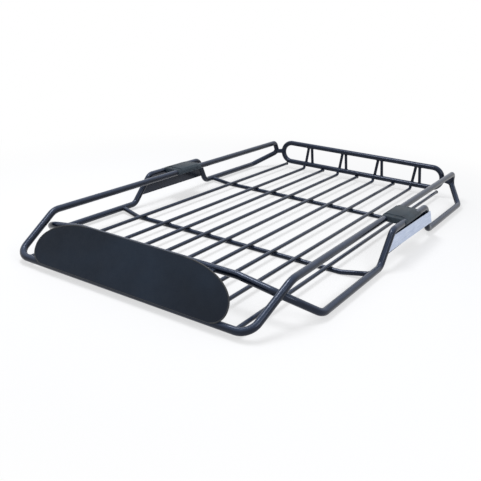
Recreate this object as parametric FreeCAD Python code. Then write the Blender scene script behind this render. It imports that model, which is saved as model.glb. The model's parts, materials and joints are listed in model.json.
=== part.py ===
import FreeCAD, Part
import math
import os

from FreeCAD import Vector

os.makedirs("parts", exist_ok=True)

# Round stock
tube_od = 22.2                # bent steel tube of the frame and the rear loop
cross_od = 16.0               # two cross tubes under the floor
slat_od = 12.7                # floor rods and rear struts

# Floor
slat_count = 9
slat_pitch = 88.0             # between the inner slats
outer_slat_span = 748.0       # between the two outermost slats
front_cross_inset = 535.0     # front bar axis to front cross tube axis
front_cross_sweep = 20.0      # how far a cross tube's ends lie behind its middle
rear_cross_inset = 1134.0
rear_cross_sweep = 0.0
cross_flat_span = 820.0       # level part of a cross tube, under the slats
cross_bend = 60.0
slat_overrun = 10.0           # slat past the rear loop's axis
riser_bend = 9.0              # upturned end of every second slat

# Front of the frame
frame_length = 1583.0         # front bar axis to rear loop axis
front_bar_span = 832.0        # between the front bar's corners
front_corner_bend = 46.0
upright_run = 165.0           # front upright, measured along the basket
top_bend = 70.0
top_rail_rise = 96.7          # top rail axis over the slat axes
top_rail_span = 873.0

# Sides of the frame
lower_rail_span = 1004.0
lower_rail_drop = 3.8         # lower rail axis under the slat axes
lower_corner_inset = 227.0    # front bar axis to the lower rail's front corner
lower_corner_bend = 44.0
arch_span = 999.0
arch_rise = 95.2              # arch rail axis over the slat axes
front_foot_inset = 621.0      # front bar axis to the four corners of the arch
front_head_inset = 706.0
rear_head_inset = 1024.0
rear_foot_inset = 1081.0
leg_bend = 36.0

# Rear corners
return_top_setback = 14.0     # top rail's rear corner ahead of the rear loop's axis
return_knee_overrun = 6.0     # knee of the return behind the rear loop's axis
return_knee_span = 863.0      # between the two knees
return_knee_rise = 50.7       # knee over the slat axes
return_low_setback = 108.0    # lower rail's rear corner ahead of the rear loop's axis
return_top_bend = 24.0
return_knee_bend = 20.0
return_low_bend = 40.0

# Rear loop
loop_span = 782.0             # across the rounded ends, axis to axis
loop_height = 89.0            # lower to upper axis
link_od = 20.0                # short tube between the loop and the return
strut_foot_spread = 36.0
strut_head_spread = 15.0
strut_offset = 16.0           # strut centre beside its slat

# Wind deflector
fairing_inset = 140.0         # front bar axis to fairing tube axis
fairing_rise = 76.2           # fairing tube axis over the slat axes
fairing_flat_span = 580.0     # raised middle of the fairing tube
fairing_bend = 90.0
deflector_length = 690.0
deflector_thickness = 3.0
deflector_tilt = 60.0         # degrees up from level
deflector_skirt = 2.0         # deflector below its line of contact with the front bar
deflector_low_bend = 42.0     # lower corner radius
deflector_side = 4.0          # straight part of an end, between its corners
deflector_high_drop = 94.0    # upper corner, an oval quarter: its height
deflector_high_reach = 178.0  # and its width
stay_spacing = 420.0          # between the two straps that hold the deflector
stay_width = 25.0
stay_thickness = 4.0

# Joint covers and side panels
cover_inset = 867.0           # front bar axis to the cover's middle
cover_body_length = 108.0
cover_end_length = 21.0
cover_height = 16.0           # cover top over the top rail axis
cover_step = 3.5              # cover ends lie this much below its body
cover_inboard = 15.0          # cover past the top rail axis
cover_outboard = 12.5         # cover past the arch rail axis
cover_skirt = 6.0             # cover rim below the arch rail axis
cover_chamfer = 8.0
panel_thickness = 3.0
panel_drop = 72.0             # panel's lower edge below the arch rail axis
plate_thickness = 2.0
plate_margin = 6.0            # bare border of the panel around the plate
plate_overlap = 11.0          # plate past the axis of the arch's rear leg, over its outside

# Places that follow from the sizes
tube_r = tube_od / 2
cross_r = cross_od / 2
slat_r = slat_od / 2
y_front = -frame_length / 2
y_rear = frame_length / 2
z_cross = cross_r
z_slat = cross_od + slat_r
z_top = z_slat + top_rail_rise
z_lower = z_slat - lower_rail_drop
z_arch = z_slat + arch_rise
z_fairing = z_slat + fairing_rise
z_loop_low = z_slat + slat_r + tube_r
z_loop_high = z_loop_low + loop_height
loop_bend = loop_height / 2
loop_corner = loop_span / 2 - loop_bend
y_fairing = y_front + fairing_inset
y_cover = y_front + cover_inset
upright_slope = top_rail_rise / upright_run
x_top = top_rail_span / 2
x_lower = lower_rail_span / 2
x_arch = arch_span / 2

parts = {}


def unit(vector):
    return vector * (1 / vector.Length)


def setback(before, corner, after, radius):
    return radius * math.tan((corner - before).getAngle(after - corner) / 2)


def crown(before, corner, after, radius):
    inward = unit(unit(before - corner) + unit(after - corner))
    return corner + inward * (math.hypot(radius, setback(before, corner, after, radius)) - radius)


def bar(start, end, diameter):
    return Part.makeCylinder(diameter / 2, (end - start).Length, start, end - start)


def tube(points, radii, diameter):
    """Round bar along straight runs, with one bend radius for each inner point."""
    edges = []
    last = points[0]
    for before, corner, after, radius in zip(points, points[1:], points[2:], radii):
        back = unit(before - corner)
        ahead = unit(after - corner)
        step = setback(before, corner, after, radius)
        start = corner + back * step
        if (start - last).Length > 0.001:
            edges.append(Part.LineSegment(last, start).toShape())
        last = corner + ahead * step
        edges.append(Part.Arc(start, crown(before, corner, after, radius), last).toShape())
    if (points[-1] - last).Length > 0.001:
        edges.append(Part.LineSegment(last, points[-1]).toShape())
    section = Part.Circle(points[0], points[1] - points[0], diameter / 2).toShape()
    return Part.Wire(edges).makePipe(Part.Face(Part.Wire(section)))


def both_sides(name, shape):
    parts[name + "_right"] = shape
    parts[name + "_left"] = shape.mirror(Vector(0, 0, 0), Vector(1, 0, 0))


def prism(outline, depth):
    face = Part.Face(Part.makePolygon(outline + outline[:1]))
    return face.extrude(depth)


# Right half of the frame as one route, from the front bar round to the fairing tube
upright_share = fairing_inset / upright_run
front_corner = Vector(front_bar_span / 2, y_front, z_slat)
upright_head = Vector(x_top, y_front + upright_run, z_top)
under_upright = Vector(
    front_corner.x + (upright_head.x - front_corner.x) * upright_share,
    y_fairing,
    z_slat + fairing_inset * upright_slope - tube_od * math.hypot(1, upright_slope),
)
route = [
    (Vector(0, y_front, z_slat), 0),
    (front_corner, front_corner_bend),
    (upright_head, top_bend),
    (Vector(x_top, y_rear - return_top_setback, z_top), return_top_bend),
    (Vector(return_knee_span / 2, y_rear + return_knee_overrun, z_slat + return_knee_rise), return_knee_bend),
    (Vector(x_lower, y_rear - return_low_setback, z_lower), return_low_bend),
    (Vector(x_lower, y_front + rear_foot_inset, z_lower), leg_bend),
    (Vector(x_arch, y_front + rear_head_inset, z_arch), leg_bend),
    (Vector(x_arch, y_front + front_head_inset, z_arch), leg_bend),
    (Vector(x_lower, y_front + front_foot_inset, z_lower), leg_bend),
    (Vector(x_lower, y_front + lower_corner_inset, z_lower), lower_corner_bend),
    (under_upright, fairing_bend),
    (Vector(fairing_flat_span / 2, y_fairing, z_fairing), fairing_bend),
    (Vector(0, y_fairing, z_fairing), 0),
]


def bend_end(i, neighbour):
    corner, radius = route[i]
    step = setback(route[i - 1][0], corner, route[i + 1][0], radius)
    return corner + unit(route[neighbour][0] - corner) * step


def run(i):
    return bar(bend_end(i, i + 1), bend_end(i + 1, i), tube_od)


def bends(first, last):
    inner = range(first, last + 1)
    points = [bend_end(first, first - 1)] + [route[i][0] for i in inner] + [bend_end(last, last + 1)]
    return tube(points, [route[i][1] for i in inner], tube_od)


def frame():
    end = bend_end(1, 0)
    parts["front_bar"] = bar(Vector(-end.x, end.y, end.z), end, tube_od)
    both_sides("front_upright", bends(1, 2))
    both_sides("top_rail", run(2))
    both_sides("rear_return", bends(3, 5))
    both_sides("rear_lower_rail", run(5))
    both_sides("arch_rear_leg", bends(6, 7))
    both_sides("arch_rail", run(7))
    both_sides("arch_front_leg", bends(8, 9))
    corner_end = bend_end(10, 11)
    both_sides("front_lower_rail", tube([bend_end(9, 10), route[10][0], corner_end], [route[10][1]], tube_od))
    half = [corner_end, route[11][0], route[12][0]]
    points = half + [Vector(-p.x, p.y, p.z) for p in reversed(half)]
    fairing = tube(points, [fairing_bend] * 4, tube_od)
    for side in ("left", "right"):
        fairing = fairing.cut(parts["front_upright_" + side])
    parts["fairing_tube"] = fairing


def cross_tube(inset, sweep, rail):
    y = y_front + inset
    half = [Vector(x_lower, y + sweep, z_lower), Vector(cross_flat_span / 2, y, z_cross)]
    points = half + [Vector(-p.x, p.y, p.z) for p in reversed(half)]
    shape = tube(points, [cross_bend] * 2, cross_od)
    for side in ("left", "right"):
        shape = shape.cut(parts[rail + "_" + side])
    return shape


def slat_x(i):
    place = i - (slat_count - 1) / 2
    if i in (0, slat_count - 1):
        return math.copysign(outer_slat_span / 2, place)
    return place * slat_pitch


def slats():
    for i in range(slat_count):
        start = Vector(slat_x(i), y_front, z_slat)
        if i % 2:
            foot = Vector(start.x, y_rear - tube_r - slat_r, z_slat)
            shape = tube([start, foot, Vector(foot.x, foot.y, z_loop_low)], [riser_bend], slat_od)
        else:
            shape = bar(start, Vector(start.x, y_rear + slat_overrun, z_slat), slat_od)
        parts["slat_%d" % (i + 1)] = shape.cut(parts["front_bar"])


def rear_loop():
    for name, z in (("rear_lower_tube", z_loop_low), ("rear_top_tube", z_loop_high)):
        parts[name] = bar(Vector(-loop_corner, y_rear, z), Vector(loop_corner, y_rear, z), tube_od)
    outside = loop_corner + loop_bend
    points = [
        Vector(loop_corner, y_rear, z_loop_low),
        Vector(outside, y_rear, z_loop_low),
        Vector(outside, y_rear, z_loop_high),
        Vector(loop_corner, y_rear, z_loop_high),
    ]
    both_sides("rear_loop_end", tube(points, [loop_bend] * 2, tube_od))
    apex = Vector(outside, y_rear, (z_loop_low + z_loop_high) / 2)
    knee, knee_bend = route[4]
    link = bar(apex, crown(route[3][0], knee, route[5][0], knee_bend), link_od)
    link = link.cut(parts["rear_loop_end_right"]).cut(parts["rear_return_right"])
    both_sides("rear_link", max(link.Solids, key=lambda solid: solid.Volume))


def struts():
    legs = []
    for n in range(slat_count // 2):
        x = slat_x(2 * n + 1) + strut_offset
        for side in (-1, 1):
            foot = Vector(x + side * strut_foot_spread / 2, y_rear, z_loop_low)
            head = Vector(x + side * strut_head_spread / 2, y_rear, z_loop_high)
            leg = bar(foot, head, slat_od)
            legs.append(leg.cut(parts["rear_lower_tube"]).cut(parts["rear_top_tube"]))
    parts["rear_struts"] = Part.makeCompound(legs)


def deflector():
    tilt = math.radians(deflector_tilt)
    up = Vector(0, math.cos(tilt), math.sin(tilt))
    out = Vector(0, -up.z, up.y)
    across = Vector(1, 0, 0)
    contact = Vector(0, y_front, z_slat) + out * tube_r
    half = deflector_length / 2
    low = deflector_low_bend
    high = low + deflector_side
    top = high + deflector_high_drop

    def at(x, along):
        return contact + across * x + up * (along - deflector_skirt)

    flat = half - deflector_high_reach
    edges = [
        Part.LineSegment(at(low - half, 0), at(half - low, 0)).toShape(),
        Part.LineSegment(at(-flat, top), at(flat, top)).toShape(),
    ]
    for side in (1, -1):
        end = side * half
        diagonal = low * math.sqrt(0.5)
        middle = at(end + side * (diagonal - low), low - diagonal)
        oval = Part.Ellipse(at(end, high), at(side * flat, top), at(side * flat, high))
        edges.append(Part.Arc(at(end, low), middle, at(end - side * low, 0)).toShape())
        edges.append(Part.LineSegment(at(end, low), at(end, high)).toShape())
        edges.append(Part.ArcOfEllipse(oval, 0, math.pi / 2).toShape())
    outline = Part.Wire(Part.__sortEdges__(edges))
    sheet = Part.Face(outline).extrude(out * deflector_thickness)
    parts["wind_deflector"] = sheet.cut(parts["front_bar"])

    def back_face(z):
        return contact.y + (z - contact.z) * up.y / up.z

    stays = []
    z_under, z_over = z_fairing - stay_thickness / 2, z_fairing + stay_thickness / 2
    for middle in (-stay_spacing / 2, stay_spacing / 2):
        x = middle - stay_width / 2
        outline = [
            Vector(x, back_face(z_under), z_under),
            Vector(x, y_fairing, z_under),
            Vector(x, y_fairing, z_over),
            Vector(x, back_face(z_over), z_over),
        ]
        stays.append(prism(outline, across * stay_width).cut(parts["fairing_tube"]))
    parts["deflector_stays"] = Part.makeCompound(stays)


def joint_cover():
    def block(length, top):
        y = y_cover - length / 2
        inner = x_top - cover_inboard
        outer = x_arch + cover_outboard
        low = z_arch - cover_skirt
        outline = [
            Vector(inner, y, low),
            Vector(inner, y, top - cover_chamfer),
            Vector(inner + cover_chamfer, y, top),
            Vector(x_arch - tube_r, y, top),
            Vector(outer, y, z_arch + cover_chamfer),
            Vector(outer, y, low),
        ]
        return prism(outline, Vector(0, length, 0))

    top = z_top + cover_height
    whole_length = cover_body_length + 2 * cover_end_length
    cover = block(cover_body_length, top).fuse(block(whole_length, top - cover_step))
    for name in ("top_rail", "arch_rail"):
        cover = cover.cut(parts[name + "_right"])
    both_sides("joint_cover", cover)


def side_panel():
    head_rear, head_front = route[7][0], route[8][0]
    foot_rear, foot_front = route[6][0], route[9][0]
    along = Vector(0, 1, 0)

    def on_leg(head, foot, depth):
        return head + (foot - head) * (depth / (z_arch - z_lower))

    low_front = on_leg(head_front, foot_front, panel_drop)
    low_rear = on_leg(head_rear, foot_rear, panel_drop)
    out = unit((low_front - head_front).cross(along))
    if out.x < 0:
        out = out * -1
    outline = [p - out * (panel_thickness / 2) for p in (head_front, head_rear, low_rear, low_front)]
    panel = prism(outline, out * panel_thickness)
    for name in ("arch_rail_right", "arch_front_leg_right", "arch_rear_leg_right", "joint_cover_right"):
        panel = panel.cut(parts[name])
    both_sides("side_panel", panel)

    inset = tube_r + plate_margin
    low = panel_drop - plate_margin
    front_low = on_leg(head_front, foot_front, low) + along * inset
    rear_seat = on_leg(head_rear, foot_rear, inset)

    def lifted(p):
        share = (p.y - front_low.y) / (rear_seat.y - front_low.y)
        return p + out * (panel_thickness / 2 + (tube_r - panel_thickness / 2) * share)

    corners = [
        on_leg(head_front, foot_front, inset) + along * inset,
        rear_seat + along * plate_overlap,
        on_leg(head_rear, foot_rear, low) + along * plate_overlap,
        front_low,
    ]
    plate = prism([lifted(p) for p in corners], out * plate_thickness)
    both_sides("side_plate", plate.cut(parts["arch_rear_leg_right"]))


frame()
parts["front_cross_tube"] = cross_tube(front_cross_inset, front_cross_sweep, "front_lower_rail")
parts["rear_cross_tube"] = cross_tube(rear_cross_inset, rear_cross_sweep, "rear_lower_rail")
rear_loop()
slats()
struts()
deflector()
joint_cover()
side_panel()

for name, shape in parts.items():
    shape.exportStep("parts/%s.step" % name)
    print(name, len(shape.Solids), shape.isValid(), "%.1f cm3" % (shape.Volume / 1000))
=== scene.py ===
import json
import math

import bmesh
import bpy
from mathutils import Matrix, Vector
from mathutils.bvhtree import BVHTree


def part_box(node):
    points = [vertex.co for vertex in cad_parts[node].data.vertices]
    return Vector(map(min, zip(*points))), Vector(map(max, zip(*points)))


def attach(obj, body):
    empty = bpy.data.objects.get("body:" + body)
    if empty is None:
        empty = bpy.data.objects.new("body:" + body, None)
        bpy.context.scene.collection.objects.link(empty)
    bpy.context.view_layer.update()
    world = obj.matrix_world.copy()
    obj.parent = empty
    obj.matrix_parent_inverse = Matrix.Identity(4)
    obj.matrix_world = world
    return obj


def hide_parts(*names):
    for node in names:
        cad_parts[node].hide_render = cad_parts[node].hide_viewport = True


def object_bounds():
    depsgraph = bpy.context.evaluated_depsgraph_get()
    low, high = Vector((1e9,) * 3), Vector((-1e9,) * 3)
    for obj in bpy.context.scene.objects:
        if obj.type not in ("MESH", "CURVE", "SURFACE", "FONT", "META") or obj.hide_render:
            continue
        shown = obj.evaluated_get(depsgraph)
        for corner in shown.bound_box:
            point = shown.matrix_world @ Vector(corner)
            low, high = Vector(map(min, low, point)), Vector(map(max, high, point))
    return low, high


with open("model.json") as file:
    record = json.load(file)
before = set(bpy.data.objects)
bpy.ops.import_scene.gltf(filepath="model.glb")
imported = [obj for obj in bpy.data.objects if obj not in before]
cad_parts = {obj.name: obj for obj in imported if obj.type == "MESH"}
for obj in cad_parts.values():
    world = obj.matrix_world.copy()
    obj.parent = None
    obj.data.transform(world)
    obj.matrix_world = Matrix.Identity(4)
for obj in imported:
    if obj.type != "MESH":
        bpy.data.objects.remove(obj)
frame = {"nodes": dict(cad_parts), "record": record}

nodes = frame["nodes"]
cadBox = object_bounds()
millimetre = 0.001
merge = {"node": 0.01 * millimetre, "line": 0.02 * millimetre}


def linear(hexColour):
    # sRGB hex to the linear values that the shaders want
    channels = [int(hexColour[i:i + 2], 16) / 255 for i in (0, 2, 4)]
    return [c / 12.92 if c <= 0.04045 else ((c + 0.055) / 1.055) ** 2.4 for c in channels] + [1.0]


def addNode(tree, kind, settings=None, links=None):
    # settings go on the node, links hold a value or another node's output for each input
    node = tree.nodes.new(kind)
    for name, value in (settings or {}).items():
        setattr(node, name, value)
    for name, value in (links or {}).items():
        if isinstance(value, bpy.types.NodeSocket):
            tree.links.new(value, node.inputs[name])
        else:
            node.inputs[name].default_value = value
    return node


def newMaterial(name):
    material = bpy.data.materials.new(name)
    material.use_nodes = True
    tree = material.node_tree
    tree.nodes.clear()
    return material, tree


def perMetre(sizeMm):
    # pattern scale that gives cells of this size
    return 1 / (sizeMm * millimetre)


def mottle(tree, place, tones, sizeMm, detail, roughness=0.5):
    # cloudy noise in cells of this size, and the colour that it gives between the two tones
    noise = addNode(tree, "ShaderNodeTexNoise", None, {
        "Vector": place, "Scale": perMetre(sizeMm), "Detail": detail, "Roughness": roughness})
    colour = addNode(tree, "ShaderNodeValToRGB", None, {"Fac": noise.outputs["Fac"]})
    for element, tone, position in zip(colour.color_ramp.elements, ("dark", "light"), tones["spread"]):
        element.position = position
        element.color = linear(tones[tone])
    return noise.outputs["Fac"], colour.outputs["Color"]


def closeMaterial(material, tree, values):
    # every material of the part ends in one principled shader
    shader = addNode(tree, "ShaderNodeBsdfPrincipled", None, values)
    addNode(tree, "ShaderNodeOutputMaterial", None, {"Surface": shader.outputs["BSDF"]})
    return material


# Powder coated steel tube: baked epoxy powder, so a deep blue-black gloss with a soft orange peel
def powderCoatSteel():
    # the pale tone is painted top light, a painted highlight laid on faces that point up
    coat = {"dark": "080D18", "light": "121A2A", "spread": (0.35, 0.75), "blotchMm": 60, "peelMm": 3.5,
            "dustAndLightMm": 14, "litTopTone": "38445A", "litTopFrom": 0.3, "litTopTo": 0.95, "litTopShare": 0.9}
    material, tree = newMaterial("powderCoatSteel")
    place = addNode(tree, "ShaderNodeTexCoord").outputs["Object"]
    colour = mottle(tree, place, coat, coat["blotchMm"], detail=4.0, roughness=0.6)[1]
    dustAndLight = addNode(tree, "ShaderNodeTexNoise", None, {
        "Vector": place, "Scale": perMetre(coat["dustAndLightMm"]), "Detail": 6.0, "Roughness": 0.7})
    # painted top light, partly dust: what faces the sky is painted paler, as a painted highlight broken up
    # into dust patches
    facing = addNode(tree, "ShaderNodeSeparateXYZ", None, {
        "Vector": addNode(tree, "ShaderNodeNewGeometry").outputs["Normal"]})
    skyward = addNode(tree, "ShaderNodeMapRange", {"interpolation_type": "SMOOTHSTEP"}, {
        "Value": facing.outputs["Z"], "From Min": coat["litTopFrom"], "From Max": coat["litTopTo"],
        "To Min": 0.0, "To Max": coat["litTopShare"]})
    patchy = addNode(tree, "ShaderNodeMapRange", None, {
        "Value": dustAndLight.outputs["Fac"], "From Min": 0.3, "From Max": 0.7, "To Min": 0.6, "To Max": 1.0})
    paintedLightAndDust = addNode(tree, "ShaderNodeMath", {"operation": "MULTIPLY"}, {
        0: skyward.outputs["Result"], 1: patchy.outputs["Result"]})
    # mixes the painted top light into the coat's own colour
    coatAndPaintedLight = addNode(tree, "ShaderNodeMixRGB", None, {
        "Fac": paintedLightAndDust.outputs["Value"], "Color1": colour, "Color2": linear(coat["litTopTone"])})
    gloss = addNode(tree, "ShaderNodeMapRange", None, {
        "Value": dustAndLight.outputs["Fac"], "From Min": 0.3, "From Max": 0.7, "To Min": 0.15, "To Max": 0.25})
    # real orange peel is about 1 mm, drawn at 3.5 mm so that it shows
    peel = addNode(tree, "ShaderNodeTexNoise", None, {
        "Vector": place, "Scale": perMetre(coat["peelMm"]), "Detail": 2.0, "Roughness": 0.5})
    bump = addNode(tree, "ShaderNodeBump", None, {
        "Height": peel.outputs["Fac"], "Strength": 0.12, "Distance": 0.4 * millimetre})
    return closeMaterial(material, tree, {
        "Base Color": coatAndPaintedLight.outputs["Color"], "Roughness": gloss.outputs["Result"], "IOR": 1.4,
        "Specular Tint": linear("DCE6FF"), "Normal": bump.outputs["Normal"]})


# Black ABS sheet: extruded and pressed against a grained roll, so matt with a fine pebble
def grainedAbsSheet():
    sheet = {"dark": "0F1722", "light": "1A2533", "spread": (0.3, 0.72), "cloudMm": 220, "grainMm": 2.2,
             "rubMm": 30}
    material, tree = newMaterial("grainedAbsSheet")
    place = addNode(tree, "ShaderNodeTexCoord").outputs["Object"]
    colour = mottle(tree, place, sheet, sheet["cloudMm"], detail=3.0, roughness=0.55)[1]
    rub = addNode(tree, "ShaderNodeTexNoise", None, {
        "Vector": place, "Scale": perMetre(sheet["rubMm"]), "Detail": 5.0, "Roughness": 0.65})
    matt = addNode(tree, "ShaderNodeMapRange", None, {
        "Value": rub.outputs["Fac"], "From Min": 0.3, "From Max": 0.7, "To Min": 0.52, "To Max": 0.68})
    # a real grain is about 1 mm, drawn at 2.2 mm so that it shows
    grain = addNode(tree, "ShaderNodeTexVoronoi", {"feature": "SMOOTH_F1"}, {
        "Vector": place, "Scale": perMetre(sheet["grainMm"]), "Smoothness": 0.4})
    bump = addNode(tree, "ShaderNodeBump", None, {
        "Height": grain.outputs["Distance"], "Strength": 0.55, "Distance": 0.45 * millimetre})
    return closeMaterial(material, tree, {
        "Base Color": colour, "Roughness": matt.outputs["Result"], "IOR": 1.46,
        "Specular IOR Level": 0.22, "Normal": bump.outputs["Normal"]})


# Moulded ABS: spark-eroded tool, so a satin blue-grey that is paler where hands and rain have worn it
def mouldedAbs():
    mould = {"dark": "222B34", "light": "3B464F", "spread": (0.3, 0.75), "wearMm": 45, "grainMm": 1.8}
    material, tree = newMaterial("mouldedAbs")
    place = addNode(tree, "ShaderNodeTexCoord").outputs["Object"]
    wear, colour = mottle(tree, place, mould, mould["wearMm"], detail=5.0, roughness=0.6)
    matt = addNode(tree, "ShaderNodeMapRange", None, {
        "Value": wear, "From Min": 0.3, "From Max": 0.7, "To Min": 0.5, "To Max": 0.64})
    # real pits are finer than 0.5 mm, drawn at 1.8 mm so that they show
    grain = addNode(tree, "ShaderNodeTexNoise", None, {
        "Vector": place, "Scale": perMetre(mould["grainMm"]), "Detail": 2.0})
    bump = addNode(tree, "ShaderNodeBump", None, {
        "Height": grain.outputs["Fac"], "Strength": 0.2, "Distance": 0.3 * millimetre})
    return closeMaterial(material, tree, {
        "Base Color": colour, "Roughness": matt.outputs["Result"], "IOR": 1.5,
        "Specular IOR Level": 0.25, "Normal": bump.outputs["Normal"]})


# Brushed aluminium plate: belt-brushed along its length, so a cool sheen in fine streaks
def brushedAluminium():
    brush = {"dark": "9FADC6", "light": "D2DCF0", "spread": (0.3, 0.7), "streakMm": 1.6, "streakLength": 60,
             "smudgeMm": 40}
    material, tree = newMaterial("brushedAluminium")
    place = addNode(tree, "ShaderNodeTexCoord").outputs["Object"]
    stretched = addNode(tree, "ShaderNodeMapping", None, {
        "Vector": place, "Scale": (1.0, 1 / brush["streakLength"], 1.0)})
    # real scratches are finer than 0.2 mm, drawn at 1.6 mm so that they show
    streak, colour = mottle(
        tree, stretched.outputs["Vector"], brush, brush["streakMm"], detail=4.0, roughness=0.7)
    smudge = addNode(tree, "ShaderNodeTexNoise", None, {
        "Vector": place, "Scale": perMetre(brush["smudgeMm"]), "Detail": 3.0})
    sheen = addNode(tree, "ShaderNodeMapRange", None, {
        "Value": smudge.outputs["Fac"], "From Min": 0.3, "From Max": 0.7, "To Min": 0.3, "To Max": 0.44})
    bump = addNode(tree, "ShaderNodeBump", None, {
        "Height": streak, "Strength": 0.15, "Distance": 0.2 * millimetre})
    return closeMaterial(material, tree, {
        "Base Color": colour, "Roughness": sheen.outputs["Result"], "Metallic": 1.0,
        "Normal": bump.outputs["Normal"]})


# Black zinc plated steel: plated, then passivated black, so a dark grey metal with faint cloudy spangle
def blackZincSteel():
    plating = {"dark": "24272B", "light": "4A4F55", "spread": (0.0, 1.0), "spangleMm": 3.0}
    material, tree = newMaterial("blackZincSteel")
    place = addNode(tree, "ShaderNodeTexCoord").outputs["Object"]
    spangle, colour = mottle(tree, place, plating, plating["spangleMm"], detail=3.0)
    sheen = addNode(tree, "ShaderNodeMapRange", None, {"Value": spangle, "To Min": 0.25, "To Max": 0.42})
    return closeMaterial(material, tree, {
        "Base Color": colour, "Roughness": sheen.outputs["Result"], "Metallic": 1.0})


# Rubber: extruded and vulcanised, so a dull soft black with a chalky bloom
def bloomedRubber():
    seal = {"dark": "090D13", "light": "171D27", "spread": (0.35, 0.8), "bloomMm": 12, "skinMm": 1.5}
    material, tree = newMaterial("bloomedRubber")
    place = addNode(tree, "ShaderNodeTexCoord").outputs["Object"]
    bloom, colour = mottle(tree, place, seal, seal["bloomMm"], detail=5.0, roughness=0.7)
    dull = addNode(tree, "ShaderNodeMapRange", None, {
        "Value": bloom, "From Min": 0.3, "From Max": 0.7, "To Min": 0.45, "To Max": 0.62})
    # a real skin is finer than 0.5 mm, drawn at 1.5 mm so that it shows
    skin = addNode(tree, "ShaderNodeTexNoise", None, {
        "Vector": place, "Scale": perMetre(seal["skinMm"]), "Detail": 2.0})
    bump = addNode(tree, "ShaderNodeBump", None, {
        "Height": skin.outputs["Fac"], "Strength": 0.15, "Distance": 0.2 * millimetre})
    return closeMaterial(material, tree, {
        "Base Color": colour, "Roughness": dull.outputs["Result"], "IOR": 1.52,
        "Normal": bump.outputs["Normal"]})


finishes = {
    "frame_steel": powderCoatSteel(),
    "deflector_sheet": grainedAbsSheet(),
    "cover_moulding": mouldedAbs(),
    "bright_plate": brushedAluminium(),
}
zinc = blackZincSteel()
rubber = bloomedRubber()
slotOf = {row["node"]: row["material_slot"] for row in frame["record"]["subparts"]}
for name, node in nodes.items():
    node.data.materials.clear()
    node.data.materials.append(finishes[slotOf[name]])
print("finishes on", len(nodes), "frame pieces")


# Places read from the frame
def middle(name):
    low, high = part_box(name)
    return (low + high) / 2


slatCount = sum(1 for name in nodes if name.startswith("slat_"))
slatLow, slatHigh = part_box("slat_1")
slatRadius = (slatHigh.x - slatLow.x) / 2
slatZ = (slatHigh.z + slatLow.z) / 2
barLow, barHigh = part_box("front_bar")
tubeRadius = (barHigh.z - barLow.z) / 2
loopLowAxis = middle("rear_lower_tube")
crossRadius = (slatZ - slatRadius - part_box("rear_cross_tube")[0].z) / 2


def newPiece(name, mesh, finish, slot, *replaced):
    piece = bpy.data.objects.new(name, mesh)
    bpy.context.scene.collection.objects.link(piece)
    if finish:
        mesh.materials.append(finish)
    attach(piece, "root")
    if replaced:
        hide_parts(*replaced)


def newTree(name, inputs):
    tree = bpy.data.node_groups.new(name, "GeometryNodeTree")
    tree.interface.new_socket("Geometry", in_out="INPUT", socket_type="NodeSocketGeometry")
    for label, kind in inputs.items():
        tree.interface.new_socket(label, in_out="INPUT", socket_type="NodeSocket" + kind)
    tree.interface.new_socket("Geometry", in_out="OUTPUT", socket_type="NodeSocketGeometry")
    return tree, tree.nodes.new("NodeGroupInput").outputs


def closeTree(tree, geometry, finish):
    # every tree ends in plain, smooth, finished mesh
    real = addNode(tree, "GeometryNodeRealizeInstances", None, {"Geometry": geometry})
    smooth = addNode(tree, "GeometryNodeSetShadeSmooth", None, {"Geometry": real.outputs["Geometry"]})
    coated = addNode(tree, "GeometryNodeSetMaterial", None, {
        "Geometry": smooth.outputs["Geometry"], "Material": finish})
    addNode(tree, "NodeGroupOutput", None, {"Geometry": coated.outputs["Geometry"]})


def copiesFacing(tree, given, shape, scale=(1, 1, 1)):
    # one copy of the shape on every point, its Z axis turned the way the point faces
    facing = addNode(tree, "GeometryNodeInputNamedAttribute", {"data_type": "FLOAT_VECTOR"}, {
        "Name": "facing"})
    turned = addNode(tree, "FunctionNodeAlignRotationToVector", {"axis": "Z"}, {
        "Vector": facing.outputs["Attribute"]})
    copies = addNode(tree, "GeometryNodeInstanceOnPoints", None, {
        "Points": given["Geometry"], "Instance": shape,
        "Rotation": turned.outputs["Rotation"], "Scale": scale})
    return copies.outputs["Instances"]


def growMesh(name, guide, tree, values):
    # runs the tree on the guide mesh and hands back the result as a plain mesh
    holder = bpy.data.objects.new(name + "Guide", guide)
    bpy.context.scene.collection.objects.link(holder)
    modifier = holder.modifiers.new("grow", "NODES")
    modifier.node_group = tree
    for item in tree.interface.items_tree:
        if item.in_out == "INPUT" and item.name in values:
            modifier[item.identifier] = values[item.name]
    holder.update_tag()
    graph = bpy.context.evaluated_depsgraph_get()
    grown = bpy.data.meshes.new_from_object(holder.evaluated_get(graph))
    grown.name = name
    holder.modifiers.remove(modifier)
    bpy.data.objects.remove(holder)
    return grown


def mergedCopy(name):
    # a node's loose triangles, joined up so that its edges can be read
    solid = bmesh.new()
    solid.from_mesh(nodes[name].data)
    bmesh.ops.remove_doubles(solid, verts=solid.verts, dist=merge["node"])
    return solid


def lineMesh(name, lines):
    # loose edges, joined where their ends meet
    work = bmesh.new()
    for start, end in lines:
        work.edges.new((work.verts.new(start), work.verts.new(end)))
    bmesh.ops.remove_doubles(work, verts=work.verts, dist=merge["line"])
    mesh = bpy.data.meshes.new(name)
    work.to_mesh(mesh)
    work.free()
    return mesh


def pointMesh(name, places, facings):
    mesh = bpy.data.meshes.new(name)
    mesh.from_pydata(places, [], [])
    facing = mesh.attributes.new("facing", "FLOAT_VECTOR", "POINT")
    facing.data.foreach_set("vector", [c for f in facings for c in f])
    return mesh


# Weld beads, laid as overlapping drops along each joint
weld = {"pitch": 2.3, "drop": 1.9, "overlap": 0.75, "uneven": 0.15, "seed": 7, "fillet": 6.0, "beside": 0.8,
        "near": 0.6, "sharp": 0.7, "crossBow": -1.6, "riserBow": 0.4, "rearBow": 1.0, "stand": 1.2}


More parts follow.
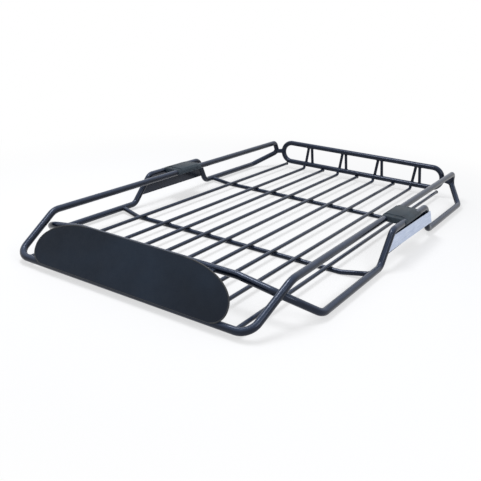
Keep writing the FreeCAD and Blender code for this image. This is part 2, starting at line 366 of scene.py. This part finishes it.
def weldTree():
    tree, given = newTree("weldDrops", {
        "Pitch": "Float", "Drop": "Float", "Overlap": "Float", "Seed": "Int", "Finish": "Material"})
    line = addNode(tree, "GeometryNodeMeshToCurve", None, {"Mesh": given["Geometry"]})
    spaced = addNode(tree, "GeometryNodeResampleCurve", {"mode": "LENGTH"}, {
        "Curve": line.outputs["Curve"], "Length": given["Pitch"]})
    drop = addNode(tree, "GeometryNodeMeshIcoSphere", None, {"Radius": 1.0, "Subdivisions": 2})
    along = addNode(tree, "FunctionNodeAlignRotationToVector", {"axis": "X"}, {
        "Vector": addNode(tree, "GeometryNodeInputTangent").outputs["Tangent"]})
    uneven = addNode(tree, "FunctionNodeRandomValue", {"data_type": "FLOAT"}, {
        "Min": 1 - weld["uneven"], "Max": 1 + weld["uneven"], "Seed": given["Seed"]})
    size = addNode(tree, "ShaderNodeMath", {"operation": "MULTIPLY"}, {
        0: given["Drop"], 1: uneven.outputs["Value"]})
    flat = addNode(tree, "ShaderNodeMath", {"operation": "MULTIPLY"}, {
        0: size.outputs["Value"], 1: given["Overlap"]})
    scale = addNode(tree, "ShaderNodeCombineXYZ", None, {
        "X": flat.outputs["Value"], "Y": size.outputs["Value"], "Z": size.outputs["Value"]})
    drops = addNode(tree, "GeometryNodeInstanceOnPoints", None, {
        "Points": spaced.outputs["Curve"], "Instance": drop.outputs["Mesh"],
        "Rotation": along.outputs["Rotation"], "Scale": scale.outputs["Vector"]})
    closeTree(tree, drops.outputs["Instances"], given["Finish"])
    return tree


def surfaceOf(name):
    mesh = nodes[name].data
    return BVHTree.FromPolygons([v.co for v in mesh.vertices], [p.vertices for p in mesh.polygons])


def seamLines(name, *others):
    # the sharp edges of a node that lie on the pieces it is welded to
    surfaces = [surfaceOf(other) for other in others]
    solid = mergedCopy(name)
    lines = []
    for edge in solid.edges:
        if len(edge.link_faces) != 2 or edge.calc_face_angle() < weld["sharp"]:
            continue
        spot = (edge.verts[0].co + edge.verts[1].co) / 2
        if any(surface.find_nearest(spot, weld["near"] * millimetre)[0] for surface in surfaces):
            lines.append((edge.verts[0].co.copy(), edge.verts[1].co.copy()))
    solid.free()
    return lines


def filletLines(centre, along, half, droop, bow):
    # short bead beside a crossing, bowed to follow the tube it lies on
    path = [centre + along * (t * half) + droop * (t * t * bow) for t in (-1, -0.5, 0, 0.5, 1)]
    return list(zip(path, path[1:]))


def weldLines():
    lines = []
    mm = millimetre
    reach = weld["fillet"] * mm
    forward, upward, sideways = Vector((0, 1, 0)), Vector((0, 0, 1)), Vector((1, 0, 0))
    for i in range(slatCount):
        slat = middle("slat_%d" % (i + 1))
        lines += seamLines("slat_%d" % (i + 1), "front_bar")
        for side in (-1, 1):
            beside = sideways * (side * weld["beside"] * slatRadius)
            for cross in ("front_cross_tube", "rear_cross_tube"):
                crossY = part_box(cross)[0].y + crossRadius
                spot = Vector((slat.x, crossY, slatZ - slatRadius)) + beside
                lines += filletLines(spot, forward, reach, upward, weld["crossBow"] * mm)
            if i % 2:
                spot = Vector((slat.x, loopLowAxis.y - tubeRadius, loopLowAxis.z - reach / 2)) + beside
                lines += filletLines(spot, upward, reach / 2, forward, weld["riserBow"] * mm)
            elif abs(slat.x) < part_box("rear_lower_tube")[1].x:
                spot = Vector((slat.x, loopLowAxis.y, slatZ + slatRadius)) + beside
                lines += filletLines(spot, forward, reach, upward, weld["rearBow"] * mm)
    lines += seamLines("rear_struts", "rear_lower_tube", "rear_top_tube")
    lines += seamLines("deflector_stays", "fairing_tube")
    for side in ("_left", "_right"):
        lines += seamLines("front_cross_tube", "front_lower_rail" + side)
        lines += seamLines("rear_cross_tube", "rear_lower_rail" + side)
        lines += seamLines("rear_link" + side, "rear_loop_end" + side, "rear_return" + side)
        arch = [name + side for name in ("arch_rail", "arch_front_leg", "arch_rear_leg")]
        lines += seamLines("side_panel" + side, *arch)
    return lines


def keptInside(point, stand):
    # what would stand out of the frame's box lies a little deeper
    low, high = cadBox
    return Vector([min(max(point[i], low[i] + stand), high[i] - stand) for i in range(3)])


weldStand = weld["stand"] * weld["drop"] * millimetre
seams = [[keptInside(point, weldStand) for point in line] for line in weldLines()]
beads = growMesh("weldBeads", lineMesh("weldLines", seams), weldTree(), {
    "Pitch": weld["pitch"] * millimetre, "Drop": weld["drop"] * millimetre, "Overlap": weld["overlap"],
    "Seed": weld["seed"], "Finish": finishes["frame_steel"]})
newPiece("weldBeads", beads, None, "frame_steel")
print("weld beads", len(beads.polygons), "faces")


# Rubber caps on the rods that run out under the rear tube
cap = {"wall": 1.1, "length": 5.6, "proud": 1.0, "rings": 10, "sides": 24, "pinch": 0.35,
       "noseFrom": 0.5, "noseCurl": 2.5}


def capTree():
    tree, given = newTree("rodCaps", {
        "Radius": "Float", "Length": "Float", "Rings": "Int", "Sides": "Int", "Pinch": "Float",
        "Finish": "Material"})
    spine = addNode(tree, "GeometryNodeCurvePrimitiveLine", {"mode": "DIRECTION"}, {
        "Direction": (0, 0, 1), "Length": given["Length"]})
    steps = addNode(tree, "GeometryNodeResampleCurve", {"mode": "COUNT"}, {
        "Curve": spine.outputs["Curve"], "Count": given["Rings"]})
    along = addNode(tree, "GeometryNodeSplineParameter")
    # straight sleeve, then a rounded nose over the last part
    nose = addNode(tree, "ShaderNodeMapRange", None, {
        "Value": along.outputs["Factor"], "From Min": cap["noseFrom"], "From Max": 1.0,
        "To Min": 0.0, "To Max": 1.0})
    curl = addNode(tree, "ShaderNodeMath", {"operation": "POWER"}, {
        0: nose.outputs["Result"], 1: cap["noseCurl"]})
    draw = addNode(tree, "ShaderNodeMath", {"operation": "MULTIPLY"}, {
        0: curl.outputs["Value"], 1: given["Pinch"]})
    share = addNode(tree, "ShaderNodeMath", {"operation": "SUBTRACT"}, {0: 1.0, 1: draw.outputs["Value"]})
    ring = addNode(tree, "GeometryNodeCurvePrimitiveCircle", {"mode": "RADIUS"}, {
        "Resolution": given["Sides"], "Radius": given["Radius"]})
    sleeve = addNode(tree, "GeometryNodeCurveToMesh", None, {
        "Curve": steps.outputs["Curve"], "Profile Curve": ring.outputs["Curve"],
        "Scale": share.outputs["Value"], "Fill Caps": True})
    closeTree(tree, copiesFacing(tree, given, sleeve.outputs["Mesh"]), given["Finish"])
    return tree


capPlaces = []
for i in range(0, slatCount, 2):
    slat = "slat_%d" % (i + 1)
    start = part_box(slat)[1].y + (cap["proud"] - cap["length"]) * millimetre
    capPlaces.append((middle(slat).x, start, slatZ))
rearward = [(0, 1, 0)] * len(capPlaces)
caps = growMesh("rodCaps", pointMesh("capPlaces", capPlaces, rearward), capTree(), {
    "Radius": slatRadius + cap["wall"] * millimetre, "Length": cap["length"] * millimetre,
    "Rings": cap["rings"], "Sides": cap["sides"], "Pinch": cap["pinch"], "Finish": rubber})
newPiece("rodCaps", caps, None, "frame_steel")
print("rod caps", len(capPlaces))


# Moulded covers over the rail and the arch: a raised body between two lower ends, all edges rounded
cover = {"bodyEnds": 21.0, "step": 3.5, "chamfer": 8.0, "crown": 0.5, "round": 3.5, "lip": 1.5, "arcSteps": 4,
         "roundShare": 0.45, "lipShare": 0.3, "footRun": 0.8, "footRise": 0.6, "wallRun": 0.3, "crease": 0.8,
         "screwSunk": 0.6}


def rounded(corners, radius, steps):
    # polygon in the x, z plane with its corners turned to arcs
    outline = []
    for i, corner in enumerate(corners):
        before, after = corners[i - 1], corners[(i + 1) % len(corners)]
        back, ahead = before - corner, after - corner
        reach = min(radius, cover["roundShare"] * back.length, cover["roundShare"] * ahead.length)
        start, end = corner + back.normalized() * reach, corner + ahead.normalized() * reach
        for k in range(steps + 1):
            t = k / steps
            outline.append(start * (1 - t) ** 2 + corner * (2 * t * (1 - t)) + end * t ** 2)
    return outline


def coverSection(low, high, top, inset):
    # flat over the rail, falling away outside the arch
    mm = millimetre
    slope = cover["chamfer"] * mm
    arch = middle("arch_rail_right")
    inner, outer = low.x + inset, high.x - inset
    ridge = arch.x - tubeRadius
    shoulder = top - cover["crown"] * mm
    corners = [
        Vector((inner, low.z + inset)), Vector((outer, low.z + inset)),
        Vector((outer, arch.z + slope - inset)), Vector((ridge, shoulder)),
        Vector(((inner + ridge) / 2, top)),
        Vector((inner + slope, shoulder)), Vector((inner, shoulder - slope))]
    return rounded(corners, cover["round"] * mm, cover["arcSteps"])


def coverMesh(name, low, high, side):
    mm = millimetre
    lip = cover["lip"] * mm
    soft = cover["lipShare"] * lip
    bodyStart = low.y + cover["bodyEnds"] * mm
    endTop = high.z - cover["step"] * mm
    # each ring's place along the cover, its top and how far it is drawn in
    half = [
        (low.y, endTop - lip, lip),
        (low.y + soft, endTop - soft, soft),
        (low.y + lip, endTop, 0),
        (bodyStart - cover["footRun"] * mm, endTop, 0),
        (bodyStart, endTop + cover["footRise"] * mm, 0),
        (bodyStart + cover["wallRun"] * mm, high.z - lip, 0),
        (bodyStart + soft, high.z - soft, 0),
        (bodyStart + lip, high.z, 0)]
    whole = half + [(low.y + high.y - y, top, inset) for y, top, inset in reversed(half)]
    work = bmesh.new()
    rings = []
    for y, top, inset in whole:
        rings.append([work.verts.new((side * p.x, y, p.y)) for p in coverSection(low, high, top, inset)])
    for ring, following in zip(rings, rings[1:]):
        for i in range(len(ring)):
            j = (i + 1) % len(ring)
            work.faces.new((ring[i], ring[j], following[j], following[i]))
    work.faces.new(rings[0])
    work.faces.new(rings[-1])
    bmesh.ops.recalc_face_normals(work, faces=work.faces)
    for face in work.faces:
        face.smooth = True
    for edge in work.edges:
        edge.smooth = edge.calc_face_angle() < cover["crease"]
    mesh = bpy.data.meshes.new(name)
    work.to_mesh(mesh)
    work.free()
    return mesh


screwPlaces = []
low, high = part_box("joint_cover_right")
seat = high.z - (cover["step"] + cover["screwSunk"]) * millimetre
for name, side in (("left", -1), ("right", 1)):
    newPiece("cover_" + name, coverMesh("cover_" + name, low, high, side), finishes["cover_moulding"],
             "cover_moulding", "joint_cover_" + name)
    for y in (low.y + cover["bodyEnds"] / 2 * millimetre, high.y - cover["bodyEnds"] / 2 * millimetre):
        screwPlaces.append((side * (low.x + high.x) / 2, y, seat))
print("covers lofted")


# Button-head screws with a hexagon socket on a flat washer, sized as shares of the head's radius
screw = {"radius": 4.6, "height": 0.5, "lift": 0.12, "socket": 0.42, "socketDepth": 0.6, "socketLift": 0.6,
         "washer": 1.35, "washerTaper": 0.06, "washerDepth": 0.16, "sides": 28, "rings": 12}


def screwTree():
    tree, given = newTree("screwHeads", {"Radius": "Float", "Sides": "Int", "Finish": "Material"})
    ball = addNode(tree, "GeometryNodeMeshUVSphere", None, {
        "Segments": given["Sides"], "Rings": screw["rings"], "Radius": 1.0})
    dome = addNode(tree, "GeometryNodeTransform", None, {
        "Geometry": ball.outputs["Mesh"], "Translation": (0, 0, screw["lift"]),
        "Scale": (1, 1, screw["height"])})
    hexagon = addNode(tree, "GeometryNodeMeshCylinder", None, {
        "Vertices": 6, "Radius": screw["socket"], "Depth": screw["socketDepth"]})
    raised = addNode(tree, "GeometryNodeTransform", None, {
        "Geometry": hexagon.outputs["Mesh"], "Translation": (0, 0, screw["socketLift"])})
    head = addNode(tree, "GeometryNodeMeshBoolean", {"operation": "DIFFERENCE"}, {
        "Mesh 1": dome.outputs["Geometry"], "Mesh 2": raised.outputs["Geometry"]})
    washer = addNode(tree, "GeometryNodeMeshCone", None, {
        "Vertices": given["Sides"], "Radius Top": screw["washer"] - screw["washerTaper"],
        "Radius Bottom": screw["washer"], "Depth": screw["washerDepth"]})
    whole = addNode(tree, "GeometryNodeJoinGeometry")
    for shape in (head, washer):
        tree.links.new(shape.outputs["Mesh"], whole.inputs[0])
    heads = copiesFacing(tree, given, whole.outputs["Geometry"], given["Radius"])
    closeTree(tree, heads, given["Finish"])
    return tree


skyward = [(0, 0, 1)] * len(screwPlaces)
heads = growMesh("coverScrews", pointMesh("screwPlaces", screwPlaces, skyward), screwTree(), {
    "Radius": screw["radius"] * millimetre, "Sides": screw["sides"], "Finish": zinc})
newPiece("coverScrews", heads, None, "bright_plate")
print("cover screws", len(screwPlaces))


# Domed rivets near the corners of the side plates
rivet = {"radius": 3.6, "height": 0.42, "inset": 11.0, "sunk": 0.9, "segments": 20, "rings": 10,
         "outward": 0.5, "flush": 0.05}


def rivetTree():
    tree, given = newTree("plateRivets", {"Radius": "Float", "Finish": "Material"})
    ball = addNode(tree, "GeometryNodeMeshUVSphere", None, {
        "Segments": rivet["segments"], "Rings": rivet["rings"], "Radius": given["Radius"]})
    dome = addNode(tree, "GeometryNodeTransform", None, {
        "Geometry": ball.outputs["Mesh"], "Scale": (1, 1, rivet["height"])})
    closeTree(tree, copiesFacing(tree, given, dome.outputs["Geometry"]), given["Finish"])
    return tree


def plateFace(name, side):
    # outer face of a plate: its normal and its four corners
    solid = mergedCopy(name)
    widest = max(solid.faces, key=lambda f: f.calc_area() if f.normal.x * side > rivet["outward"] else 0)
    normal, spot = widest.normal.copy(), widest.calc_center_median()
    flush = rivet["flush"] * millimetre
    outer = [v.co.copy() for v in solid.verts if abs((v.co - spot).dot(normal)) < flush]
    solid.free()
    quarters = ((-1, -1), (1, -1), (1, 1), (-1, 1))
    return normal, [max(outer, key=lambda p: a * p.y + b * p.z) for a, b in quarters]


rivetPlaces, rivetFacings = [], []
for name, side in (("side_plate_left", -1), ("side_plate_right", 1)):
    normal, corners = plateFace(name, side)
    for i, corner in enumerate(corners):
        inward = (corners[i - 1] - corner).normalized() + (corners[(i + 1) % 4] - corner).normalized()
        spot = corner + inward * (rivet["inset"] * millimetre)
        rivetPlaces.append(spot - normal * (rivet["sunk"] * millimetre))
        rivetFacings.append(normal)
domes = growMesh("plateRivets", pointMesh("rivetPlaces", rivetPlaces, rivetFacings), rivetTree(), {
    "Radius": rivet["radius"] * millimetre, "Finish": finishes["bright_plate"]})
newPiece("plateRivets", domes, None, "bright_plate")
print("plate rivets", len(rivetPlaces))


# Rubber edging pushed over the rim of the wind deflector
edging = {"radius": 2.3, "pitch": 5.0, "sides": 14, "frontward": -0.3, "level": 0.99}


def edgingTree():
    tree, given = newTree("sheetEdging", {
        "Radius": "Float", "Pitch": "Float", "Sides": "Int", "Finish": "Material"})
    line = addNode(tree, "GeometryNodeMeshToCurve", None, {"Mesh": given["Geometry"]})
    spaced = addNode(tree, "GeometryNodeResampleCurve", {"mode": "LENGTH"}, {
        "Curve": line.outputs["Curve"], "Length": given["Pitch"]})
    ring = addNode(tree, "GeometryNodeCurvePrimitiveCircle", {"mode": "RADIUS"}, {
        "Resolution": given["Sides"], "Radius": given["Radius"]})
    bead = addNode(tree, "GeometryNodeCurveToMesh", None, {
        "Curve": spaced.outputs["Curve"], "Profile Curve": ring.outputs["Curve"]})
    closeTree(tree, bead.outputs["Mesh"], given["Finish"])
    return tree


def rimLines(name):
    # outline of the sheet's broad front face, moved to the middle of its thickness
    solid = mergedCopy(name)
    widest = max(solid.faces, key=lambda f: f.calc_area() if f.normal.y < edging["frontward"] else 0)
    normal, spot = widest.normal.copy(), widest.calc_center_median()
    depths = [(v.co - spot).dot(normal) for v in solid.verts]
    back = normal * (min(depths) / 2)
    lines = []
    for edge in solid.edges:
        facing = [f.normal.dot(normal) > edging["level"] for f in edge.link_faces]
        if facing.count(True) == 1 and len(facing) == 2:
            lines.append((edge.verts[0].co + back, edge.verts[1].co + back))
    solid.free()
    return lines


rimStand = edging["radius"] * millimetre
rimPath = [[keptInside(point, rimStand) for point in line] for line in rimLines("wind_deflector")]
rim = growMesh("deflectorEdging", lineMesh("rimLines", rimPath), edgingTree(), {
    "Radius": edging["radius"] * millimetre, "Pitch": edging["pitch"] * millimetre,
    "Sides": edging["sides"], "Finish": rubber})
newPiece("deflectorEdging", rim, None, "deflector_sheet")
print("deflector edging", len(rim.polygons), "faces")


# Camera, fitted to the floor rods and the cross tubes
view = {"eye": (1.1396, -1.9952, 0.7919), "azimuth": 32.256, "elevation": 20.513, "roll": 2.624,
        "lens": 49.15, "sensor": 36}


def addCamera():
    turn, tilt, roll = (math.radians(view[k]) for k in ("azimuth", "elevation", "roll"))
    back = Vector((math.sin(turn) * math.cos(tilt), -math.cos(turn) * math.cos(tilt), math.sin(tilt)))
    level = Vector((math.cos(turn), math.sin(turn), 0))
    upright = back.cross(level)
    right = level * math.cos(roll) + upright * math.sin(roll)
    above = upright * math.cos(roll) - level * math.sin(roll)
    data = bpy.data.cameras.new("studioCamera")
    data.sensor_width = view["sensor"]
    data.sensor_fit = "HORIZONTAL"
    data.lens = view["lens"]
    camera = bpy.data.objects.new("studioCamera", data)
    turned = Matrix((right, above, back)).transposed().to_4x4()
    camera.matrix_world = Matrix.Translation(view["eye"]) @ turned
    bpy.context.scene.collection.objects.link(camera)
    bpy.context.scene.camera = camera


# Studio: white sweep, a softbox overhead and a weaker one from the side
studio = {"floor": "F7F8FB", "nearGlow": 0.6, "nearReach": 0.8, "farReach": 1.8, "floorSize": 60.0,
          "sky": 0.55, "fill": (0.97, 0.98, 1.0, 1)}
softboxes = {
    "overheadSoftbox": {"place": (-0.6, -0.4, 2.6), "aim": (0, 0, 0), "size": (1.3, 0.7), "power": 39},
    "sideSoftbox": {"place": (2.4, -1.2, 1.6), "aim": (0.2, 0, 0.1), "size": (1.2, 1.2), "power": 14},
}


def seenRays(tree):
    # camera, mirror and see-through rays all meet the same white
    path = addNode(tree, "ShaderNodeLightPath")
    either = addNode(tree, "ShaderNodeMath", {"operation": "MAXIMUM"}, {
        0: path.outputs["Is Camera Ray"], 1: path.outputs["Is Glossy Ray"]})
    return addNode(tree, "ShaderNodeMath", {"operation": "MAXIMUM"}, {
        0: either.outputs["Value"], 1: path.outputs["Is Transmission Ray"]}).outputs["Value"]


def addFloor():
    half = studio["floorSize"] / 2
    mesh = bpy.data.meshes.new("studioFloor")
    corners = [(-half, -half, 0), (half, -half, 0), (half, half, 0), (-half, half, 0)]
    mesh.from_pydata(corners, [], [(0, 1, 2, 3)])
    floor = bpy.data.objects.new("studioFloor", mesh)
    bpy.context.scene.collection.objects.link(floor)
    material, tree = newMaterial("paperSweep")
    paper = addNode(tree, "ShaderNodeBsdfDiffuse", None, {"Color": linear(studio["floor"])})
    glow = addNode(tree, "ShaderNodeEmission", None, {"Color": (1, 1, 1, 1), "Strength": 1.0})
    # the glow takes over away from the object, so the sweep runs out to white
    place = addNode(tree, "ShaderNodeTexCoord").outputs["Object"]
    reach = addNode(tree, "ShaderNodeVectorMath", {"operation": "LENGTH"}, {0: place})
    far = addNode(tree, "ShaderNodeMapRange", {"interpolation_type": "SMOOTHSTEP"}, {
        "Value": reach.outputs["Value"], "From Min": studio["nearReach"], "From Max": studio["farReach"],
        "To Min": studio["nearGlow"], "To Max": 1.0})
    share = addNode(tree, "ShaderNodeMath", {"operation": "MULTIPLY"}, {
        0: seenRays(tree), 1: far.outputs["Result"]})
    mix = addNode(tree, "ShaderNodeMixShader", None, {
        "Fac": share.outputs["Value"], 1: paper.outputs["BSDF"], 2: glow.outputs["Emission"]})
    addNode(tree, "ShaderNodeOutputMaterial", None, {"Surface": mix.outputs["Shader"]})
    mesh.materials.append(material)


def addSky():
    world = bpy.data.worlds.new("studioSky")
    world.use_nodes = True
    tree = world.node_tree
    tree.nodes.clear()
    seen = addNode(tree, "ShaderNodeBackground", None, {"Color": (1, 1, 1, 1), "Strength": 1.0})
    fill = addNode(tree, "ShaderNodeBackground", None, {"Color": studio["fill"], "Strength": studio["sky"]})
    mix = addNode(tree, "ShaderNodeMixShader", None, {
        "Fac": seenRays(tree), 1: fill.outputs["Background"], 2: seen.outputs["Background"]})
    addNode(tree, "ShaderNodeOutputWorld", None, {"Surface": mix.outputs["Shader"]})
    bpy.context.scene.world = world


def addSoftbox(name, place, aim, size, power):
    data = bpy.data.lights.new(name, "AREA")
    data.shape = "RECTANGLE"
    data.size, data.size_y = size
    data.energy = power
    lamp = bpy.data.objects.new(name, data)
    lamp.location = place
    lamp.rotation_euler = (Vector(aim) - Vector(place)).to_track_quat("-Z", "Y").to_euler()
    bpy.context.scene.collection.objects.link(lamp)


addCamera()
addFloor()
addSky()
for name, lamp in softboxes.items():
    addSoftbox(name, **lamp)
bpy.context.scene.view_settings.view_transform = "Standard"
print("studio set")
